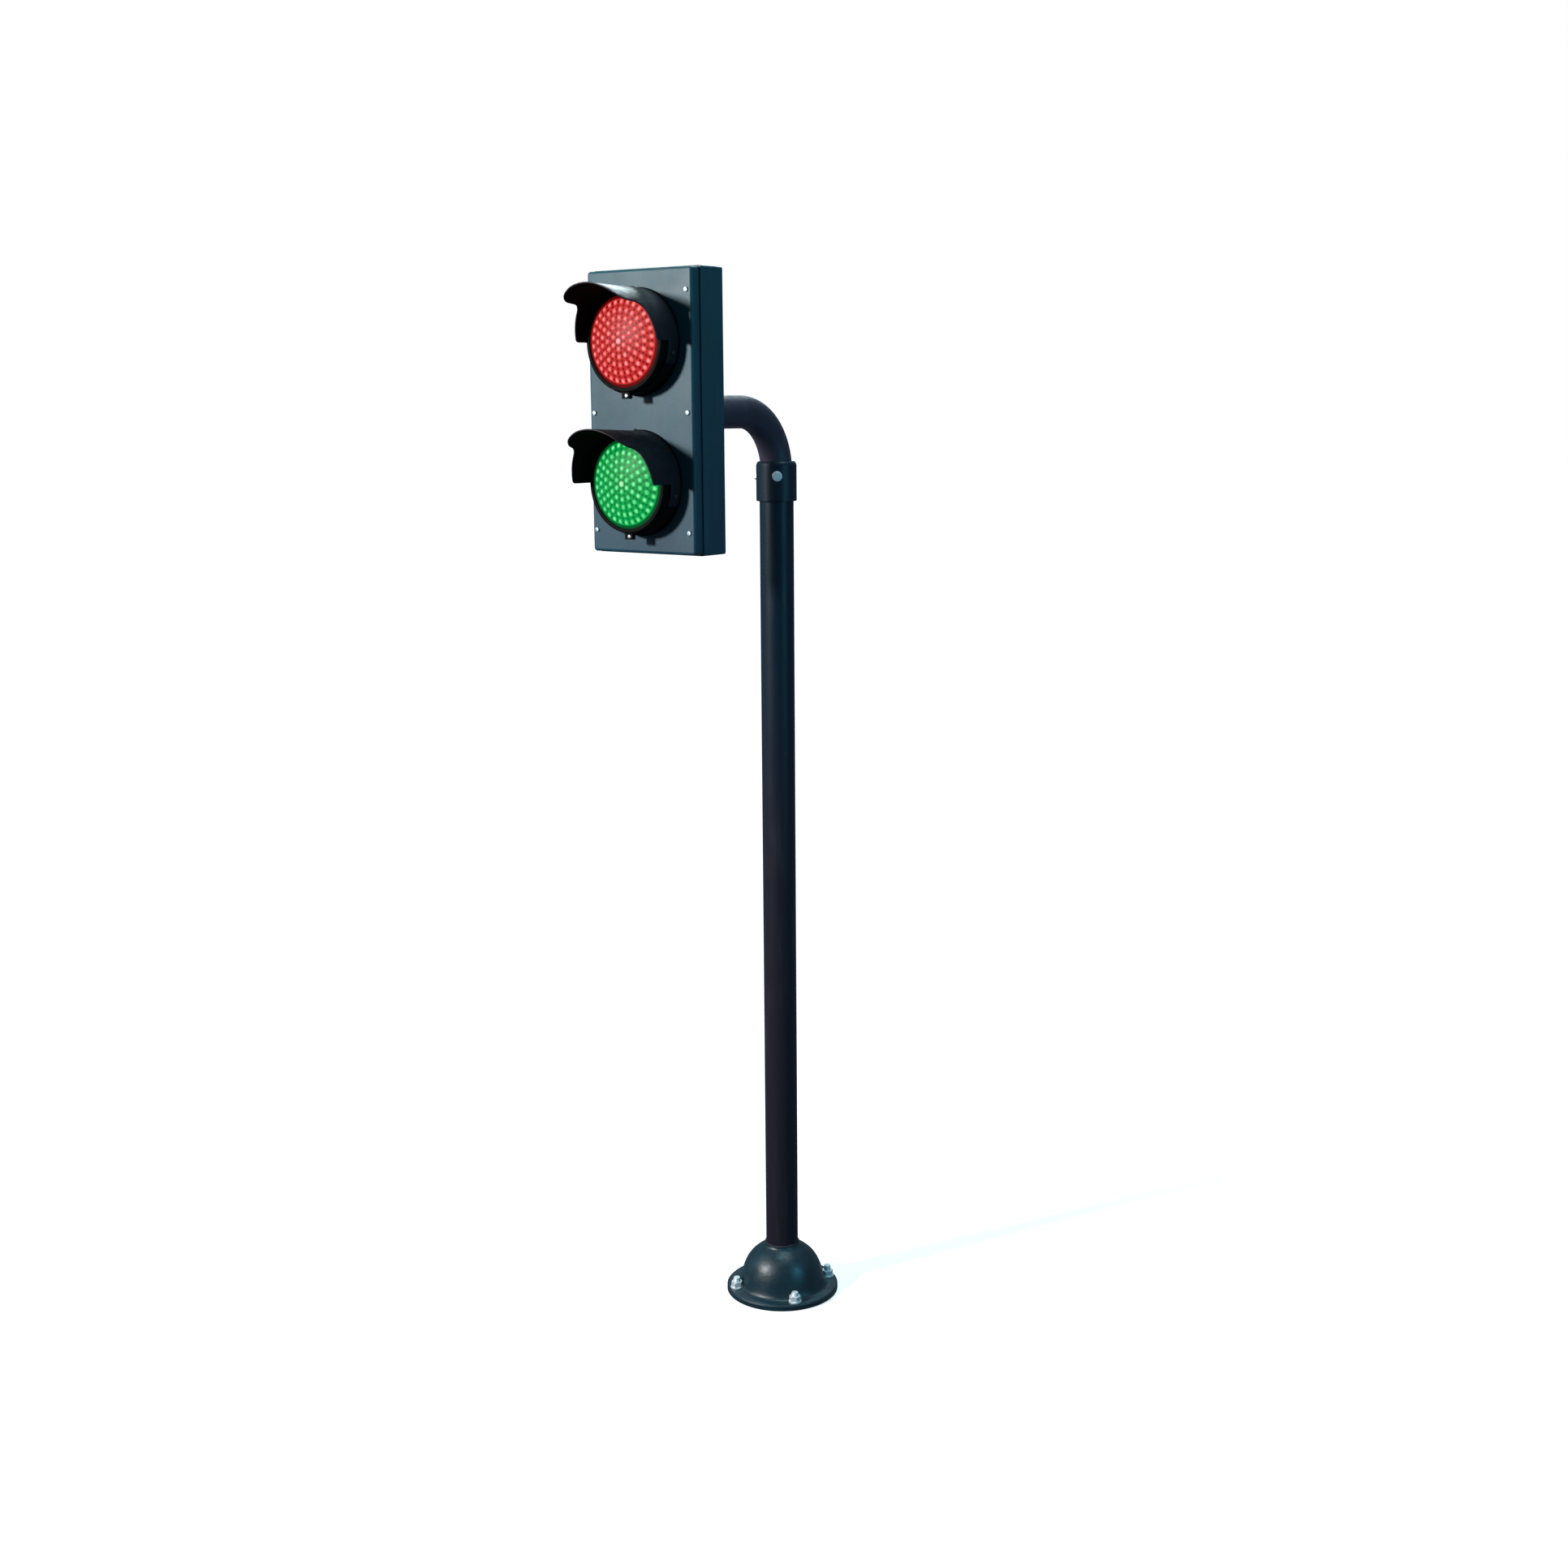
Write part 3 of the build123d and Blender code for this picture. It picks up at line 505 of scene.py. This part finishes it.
# ---- mesh helpers ---------------------------------------------------------------------
def to_object(name, bm, material, body):
    """A piece made from bm, riding a body."""
    mesh = bpy.data.meshes.new(name)
    bm.to_mesh(mesh)
    bm.free()
    piece = bpy.data.objects.new(name, mesh)
    bpy.context.scene.collection.objects.link(piece)
    mesh.materials.append(material)
    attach(piece, body)
    return piece


def apply_modifiers(piece):
    """Puts the modifiers' result in the mesh."""
    graph = bpy.context.evaluated_depsgraph_get()
    mesh = bpy.data.meshes.new_from_object(piece.evaluated_get(graph))
    piece.modifiers.clear()
    piece.data = mesh


def smooth(mesh, angle):
    """Smooth shading, broken at edges sharper than the angle in degrees."""
    mesh.polygons.foreach_set("use_smooth", [True] * len(mesh.polygons))
    mesh.set_sharp_from_angle(angle=radians(angle))


def ring_grid(bm, rings, closed=True):
    """Skins a stack of rings, each a list of as many points, and caps its ends if closed."""
    rows = [[bm.verts.new(p) for p in ring] for ring in rings]
    count = len(rows[0])
    for low, high in zip(rows, rows[1:]):
        for i in range(count):
            j = (i + 1) % count
            bm.faces.new((low[i], low[j], high[j], high[i]))
    if closed:
        bm.faces.new(list(reversed(rows[0])))
        bm.faces.new(rows[-1])
    return rows


class Lamp:
    """Where one lamp is: local x right, y up and z forward from the cover's face."""

    def __init__(self, colour):
        self.colour = colour
        low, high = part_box(f"{colour}_lens")
        self.x = (low.x + high.x) / 2
        self.z = (low.z + high.z) / 2
        self.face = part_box("front_cover")[0].y
        self.apex = self.face - low.y
        self.lens_back = self.face - high.y
        self.lens_r = (high.x - low.x) / 2

    def point(self, x, y, z):
        return Vector((self.x + x, self.face - z, self.z + y))


# ---- lens -----------------------------------------------------------------------------
LED_PITCH = 15.5 * MM
LED_RINGS = 5
LENS_RIM_H = 7.4 * MM      # the rim's height, back to front
LENS_RIM_W = 4.5 * MM
LENS_WALL = 2.6 * MM
LENS_GROOVE = 0.2 * MM
LENS_POLE_R = 0.8 * MM     # the smallest ring, capped with one face
LENSLET_R = 5.4 * MM
LENSLET_RISE = 0.9 * MM
GLOW_R = 4.7 * MM
WELL_R = 3.2 * MM
CENTRE_R = 6 * MM
RIM_FADE = 1.5 * MM
LENS_STEPS = 384
LENS_ROWS = 78
LENS_INNER_ROWS = 14


def spot_rings(first, half_step):
    """(x, y) of spots on rings: first is the radius of ring 1 in pitches."""
    spots = []
    for ring in range(1, LED_RINGS + 1):
        radius = LED_PITCH * (ring - 1 + first)
        for i in range(6 * ring):
            angle = pi / 2 + 2 * pi * (i + half_step) / (6 * ring)
            spots.append((radius * cos(angle), radius * sin(angle)))
    return spots


def nearest(points, spots):
    """The distance from each point to the spot nearest to it."""
    gap = points[:, None, :] - np.array(spots)[None, :, :]
    return np.sqrt((gap**2).sum(2)).min(1)


def make_lens(lamp, material):
    """Domed lens with a raised lenslet over each emitter and a well beside it."""
    rim_top = lamp.lens_back + LENS_RIM_H
    dome_r = lamp.lens_r - LENS_RIM_W
    rise = lamp.apex - rim_top - LENSLET_RISE
    sphere_r = (dome_r**2 + rise**2) / (2 * rise)
    layers = {key: [] for key in LENS_LAYERS}
    lit_r = LED_PITCH * LED_RINGS + LENSLET_R
    leds = [(0.0, 0.0)] + spot_rings(1.0, 0.0)
    wells = spot_rings(0.5, 0.5) + spot_rings(1.0, 0.5)
    angles = [2 * pi * i / LENS_STEPS for i in range(LENS_STEPS)]
    rings = []

    def dome(radius):
        return sqrt(sphere_r**2 - radius**2) - (sphere_r - rise)

    def add_ring(radius, height, patterned=False):
        flat = np.array([(radius * cos(a), radius * sin(a)) for a in angles])
        if patterned:
            led_gap, well_gap = nearest(flat, leds), nearest(flat, wells)
            lift = LENSLET_RISE * np.clip(1 - (led_gap / LENSLET_R) ** 2, 0, 1)
            layers["glow"] += list(np.exp(-((led_gap / GLOW_R) ** 2)))
            layers["well"] += list(np.exp(-((well_gap / WELL_R) ** 2)))
            layers["centre"] += [float(np.exp(-((radius / CENTRE_R) ** 2)))] * LENS_STEPS
            layers["rim"] += [min(1.0, max(0.0, (radius - lit_r) / RIM_FADE))] * LENS_STEPS
        else:
            lift = np.zeros(LENS_STEPS)
            for key in layers:
                layers[key] += [float(key == "rim")] * LENS_STEPS
        rings.append([lamp.point(x, y, height + up) for (x, y), up in zip(flat, lift)])

    for radius in np.linspace(LENS_POLE_R, dome_r - LENS_WALL, LENS_INNER_ROWS):
        add_ring(radius, rim_top - LENS_WALL + dome(radius))
    add_ring(dome_r - LENS_WALL, lamp.lens_back)
    add_ring(lamp.lens_r, lamp.lens_back)
    add_ring(lamp.lens_r, rim_top)
    add_ring(dome_r + LENS_GROOVE, rim_top)
    for radius in np.linspace(dome_r, LENS_POLE_R, LENS_ROWS):
        add_ring(radius, rim_top + dome(radius), patterned=True)
    bm = bmesh.new()
    ring_grid(bm, rings)
    bmesh.ops.recalc_face_normals(bm, faces=bm.faces)
    piece = to_object(f"{lamp.colour}_lens_lit", bm, material, "head")
    for key, values in layers.items():
        layer = piece.data.attributes.new(key, "FLOAT", "POINT")
        layer.data.foreach_set("value", np.array(values, np.float32))
    smooth(piece.data, 50)
    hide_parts(f"{lamp.colour}_lens")


# ---- visor ----------------------------------------------------------------------------
ARC_PIECES = 6


def rounded(points, radii):
    """The corners of a closed outline, cut back to arcs of the given radii."""
    out = []
    count = len(points)
    for i, radius in enumerate(radii):
        corner = Vector(points[i])
        before = Vector(points[i - 1]) - corner
        after = Vector(points[(i + 1) % count]) - corner
        cut = min(radius, before.length / 2.1, after.length / 2.1)
        start = corner + before.normalized() * cut
        end = corner + after.normalized() * cut
        for k in range(ARC_PIECES + 1):
            t = k / ARC_PIECES
            out.append(start * (1 - t) ** 2 + corner * 2 * t * (1 - t) + end * t**2)
    return out


VISOR_BACK_R = 105.8 * MM
VISOR_FRONT_R = 110.5 * MM
VISOR_BAND = 36 * MM
VISOR_TAB = 33 * MM
VISOR_INSET = 0.3 * MM     # keeps the thickened rim inside the CAD box
VISOR_CHEEK = {"red": 70 * MM, "green": 90 * MM}
VISOR_WALL = 2.5 * MM
VISOR_EDGE = 0.7 * MM
VISOR_SLICES = 72
VISOR_CUTS_MM = (10, 18, 26, 34, 36, 39, 60, 90, 120, 140)     # distances forward at which the shell is cut
CUT_MERGE = 0.05 * MM      # points of cuts nearer than this become one


class Hood:
    """The visor's outside: a cylinder that flares towards its front edge."""

    def __init__(self, lamp):
        low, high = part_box(f"{lamp.colour}_visor")
        self.lamp = lamp
        self.base = lamp.face - high.y
        self.front = lamp.face - low.y - VISOR_INSET
        self.cheek = VISOR_CHEEK[lamp.colour]

    def radius(self, z):
        flare = max(0.0, (z - VISOR_BAND) / (self.front - VISOR_BAND))
        return VISOR_BACK_R + (VISOR_FRONT_R - VISOR_BACK_R) * flare

    def unrolled(self, z, height):
        """Where a point of the side view lies on the unrolled shell."""
        return VISOR_BACK_R * asin(height / self.radius(z)), z

    def place(self, s, z):
        angle = s / VISOR_BACK_R
        return self.lamp.point(self.radius(z) * cos(angle), self.radius(z) * sin(angle), z)

    def outline(self):
        """The shell unrolled, with its corners rounded: (arc length from the right, forward)."""
        cheek, front = self.cheek, self.front
        # distance forward, height over the lamp's middle in mm, corner radius in mm
        side = (
            (self.base, -45, 5),
            (VISOR_TAB, -45, 6),
            (VISOR_TAB, 0, 4),
            (cheek, 0, 7),
            (cheek + 15 * MM, 64, 9),
            (cheek + 27 * MM, 73, 9),
            (front - 24 * MM, 77, 14),
            (front - 9 * MM, 88, 12),
            (front, 104, 12),
        )
        right = [(*self.unrolled(z, height * MM), radius * MM) for z, height, radius in side]
        left = [(pi * VISOR_BACK_R - s, z, radius) for s, z, radius in reversed(right)]
        corners = right + left
        return rounded([(s, z) for s, z, _ in corners], [radius for _, _, radius in corners])


def cut_across(bm, where, normal):
    """Adds an edge loop where a plane crosses the mesh."""
    geometry = bm.verts[:] + bm.edges[:] + bm.faces[:]
    bmesh.ops.bisect_plane(bm, geom=geometry, plane_co=where, plane_no=normal)


def make_visor(lamp, material, lining):
    """Hood with a seat band, a flare, rounded corners and a rounded rim."""
    hood = Hood(lamp)
    outline = hood.outline()
    bm = bmesh.new()
    bm.faces.new([bm.verts.new((s, z, 0)) for s, z in outline])
    low = min(s for s, z in outline)
    high = max(s for s, z in outline)
    for i in range(1, VISOR_SLICES):
        cut_across(bm, (low + (high - low) * i / VISOR_SLICES, 0, 0), (1, 0, 0))
    for cut in VISOR_CUTS_MM:
        cut_across(bm, (0, cut * MM, 0), (0, 1, 0))
    bmesh.ops.remove_doubles(bm, verts=bm.verts, dist=CUT_MERGE)
    for vertex in bm.verts:
        vertex.co = hood.place(vertex.co.x, vertex.co.y)
    bmesh.ops.recalc_face_normals(bm, faces=bm.faces)
    middle = lamp.point(0, 0, hood.front / 2)
    probe = max(bm.faces, key=lambda f: f.calc_area())
    if probe.normal.dot(probe.calc_center_median() - middle) < 0:
        bmesh.ops.reverse_faces(bm, faces=bm.faces)
    piece = to_object(f"{lamp.colour}_hood", bm, material, "head")
    shell = piece.modifiers.new("shell", "SOLIDIFY")
    shell.thickness = VISOR_WALL
    shell.offset = -1
    shell.use_even_offset = True
    shell.material_offset = 1
    piece.data.materials.append(lining)
    soft = piece.modifiers.new("soft", "BEVEL")
    soft.width = VISOR_EDGE
    soft.segments = 2
    soft.limit_method = "ANGLE"
    soft.angle_limit = radians(50)
    apply_modifiers(piece)
    smooth(piece.data, 40)
    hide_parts(f"{lamp.colour}_visor")


# ---- studs and weld -------------------------------------------------------------------
STUD_R = 8.15 * MM
STUD_PITCH = 2 * MM
STUD_SUNK = 1 * MM         # how far above the nut's underside the stud starts
STUD_SHORTEST = 8 * MM     # stands out of its nut by this, and by up to two steps more
STUD_STEP = 2 * MM
STUD_TURN = 0.3            # how far each thread is turned from the one before, in turns
STUD_STEPS = 28
STUD_ROWS_PER_TURN = 8
SAME_POINT = 0.01 * MM
WELD_WIDTH = 3.2 * MM
WELD_RIPPLE = 3.2 * MM
WELD_SUNK = 0.3 * MM       # how far the bead runs into the metal on both sides
WELD_WAVES = 12
WELD_STEPS = 360
WELD_ROWS = 9
WELD_SEED = 3


def threaded_stud(centre, low, high, turn):
    """A stud end with a true helical thread and a chamfered tip."""
    bm = bmesh.new()
    depth = STUD_PITCH * 0.5
    rows = int((high - low) / STUD_PITCH * STUD_ROWS_PER_TURN)
    chamfer = STUD_PITCH * 0.9
    rings = []
    for row in range(rows + 1):
        z = low + (high - low) * row / rows
        ring = []
        for i in range(STUD_STEPS):
            angle = 2 * pi * i / STUD_STEPS
            phase = (z / STUD_PITCH - angle / (2 * pi) + turn) % 1.0
            r = STUD_R - depth * abs(2 * phase - 1)
            r = min(r, STUD_R - depth + max(0.0, high - z) / chamfer * depth)
            ring.append((centre.x + r * cos(angle), centre.y + r * sin(angle), z))
        rings.append(ring)
    ring_grid(bm, rings)
    bmesh.ops.recalc_face_normals(bm, faces=bm.faces)
    return bm


def islands(node):
    """The boxes of a node's separate pieces, as (low, high) corners."""
    bm = bmesh.new()
    bm.from_mesh(frame["nodes"][node].data)
    bmesh.ops.remove_doubles(bm, verts=bm.verts, dist=SAME_POINT)
    left = set(bm.verts)
    boxes = []
    while left:
        stack = [left.pop()]
        members = []
        while stack:
            vertex = stack.pop()
            members.append(vertex.co.copy())
            for edge in vertex.link_edges:
                other = edge.other_vert(vertex)
                if other in left:
                    left.remove(other)
                    stack.append(other)
        co = np.array(members)
        boxes.append((Vector(co.min(0)), Vector(co.max(0))))
    bm.free()
    return sorted(boxes, key=lambda b: tuple(b[0]))


def make_studs(material):
    """A stud end in every anchor nut, each at its own height and turn."""
    for i, (low, high) in enumerate(islands("anchor_nuts")):
        centre = (low + high) / 2
        length = STUD_SHORTEST + STUD_STEP * (i % 3)
        bm = threaded_stud(centre, low.z + STUD_SUNK, high.z + length, i * STUD_TURN)
        piece = to_object(f"anchor_stud_{i + 1}", bm, material, "post")
        smooth(piece.data, 60)


def make_weld(name, radius, height, material):
    """A fillet weld round the post: a small bead with overlapping ripples."""
    rng = np.random.default_rng(WELD_SEED)
    ripple = 2 * pi * radius / WELD_RIPPLE
    wander = rng.uniform(-1, 1, WELD_WAVES)
    inner = radius - WELD_SUNK
    lowest = height - WELD_SUNK
    rings = []
    for k in range(WELD_ROWS):
        t = k / (WELD_ROWS - 1) * pi / 2
        ring = []
        for i in range(WELD_STEPS):
            angle = 2 * pi * i / WELD_STEPS
            loose = sum(w * sin((j + 2) * angle + j) for j, w in enumerate(wander)) / WELD_WAVES
            size = WELD_WIDTH * (1 + 0.10 * sin(angle * ripple) + 0.18 * loose)
            r = radius + size * sin(t) if k else inner
            z = height + size * cos(t) if k < WELD_ROWS - 1 else lowest
            ring.append((r * cos(angle), r * sin(angle), z))
        rings.append(ring)
    turns = [2 * pi * i / WELD_STEPS for i in range(WELD_STEPS)]
    rings.append([(inner * cos(angle), inner * sin(angle), lowest) for angle in turns])
    bm = bmesh.new()
    rows = ring_grid(bm, rings, closed=False)
    for i in range(WELD_STEPS):
        j = (i + 1) % WELD_STEPS
        bm.faces.new((rows[-1][i], rows[-1][j], rows[0][j], rows[0][i]))
    bmesh.ops.recalc_face_normals(bm, faces=bm.faces)
    piece = to_object(name, bm, material, "post")
    smooth(piece.data, 60)


# ---- carried-over CAD nodes -----------------------------------------------------------
OWN_FINISH = {
    "base_flange": "cast_coat",
    "arm_tube": "arm_coat_lightened",
    "collar_screws": "glint_white_zinc",
    "cover_screws": "dull_zinc",
    "red_clip_screw": "plain_steel",
    "green_clip_screw": "plain_steel",
    "red_bezel": "barrel_moulding",
    "green_bezel": "barrel_moulding",
}


def dress_nodes(mats):
    """Gives every node that stays the material of its own finish or of its slot."""
    slots = {entry["node"]: entry["material_slot"] for entry in frame["record"]["subparts"]}
    for name, node in frame["nodes"].items():
        node.data.materials.clear()
        node.data.materials.append(mats[OWN_FINISH.get(name, slots[name])])


# ---- the object -----------------------------------------------------------------------
make_camera()
make_light()
make_floor()
materials = make_materials()
dress_nodes(materials)
for colour in COLOURS:
    lamp = Lamp(colour)
    make_lens(lamp, materials[f"{colour}_lens_plastic"])
    make_visor(lamp, materials["black_moulding"], materials["black_flock"])
make_studs(materials["bright_zinc"])
post_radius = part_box("post_tube")[1].x
hub_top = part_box("base_flange")[1].z
make_weld("hub_weld", post_radius, hub_top, materials["post_coat"])
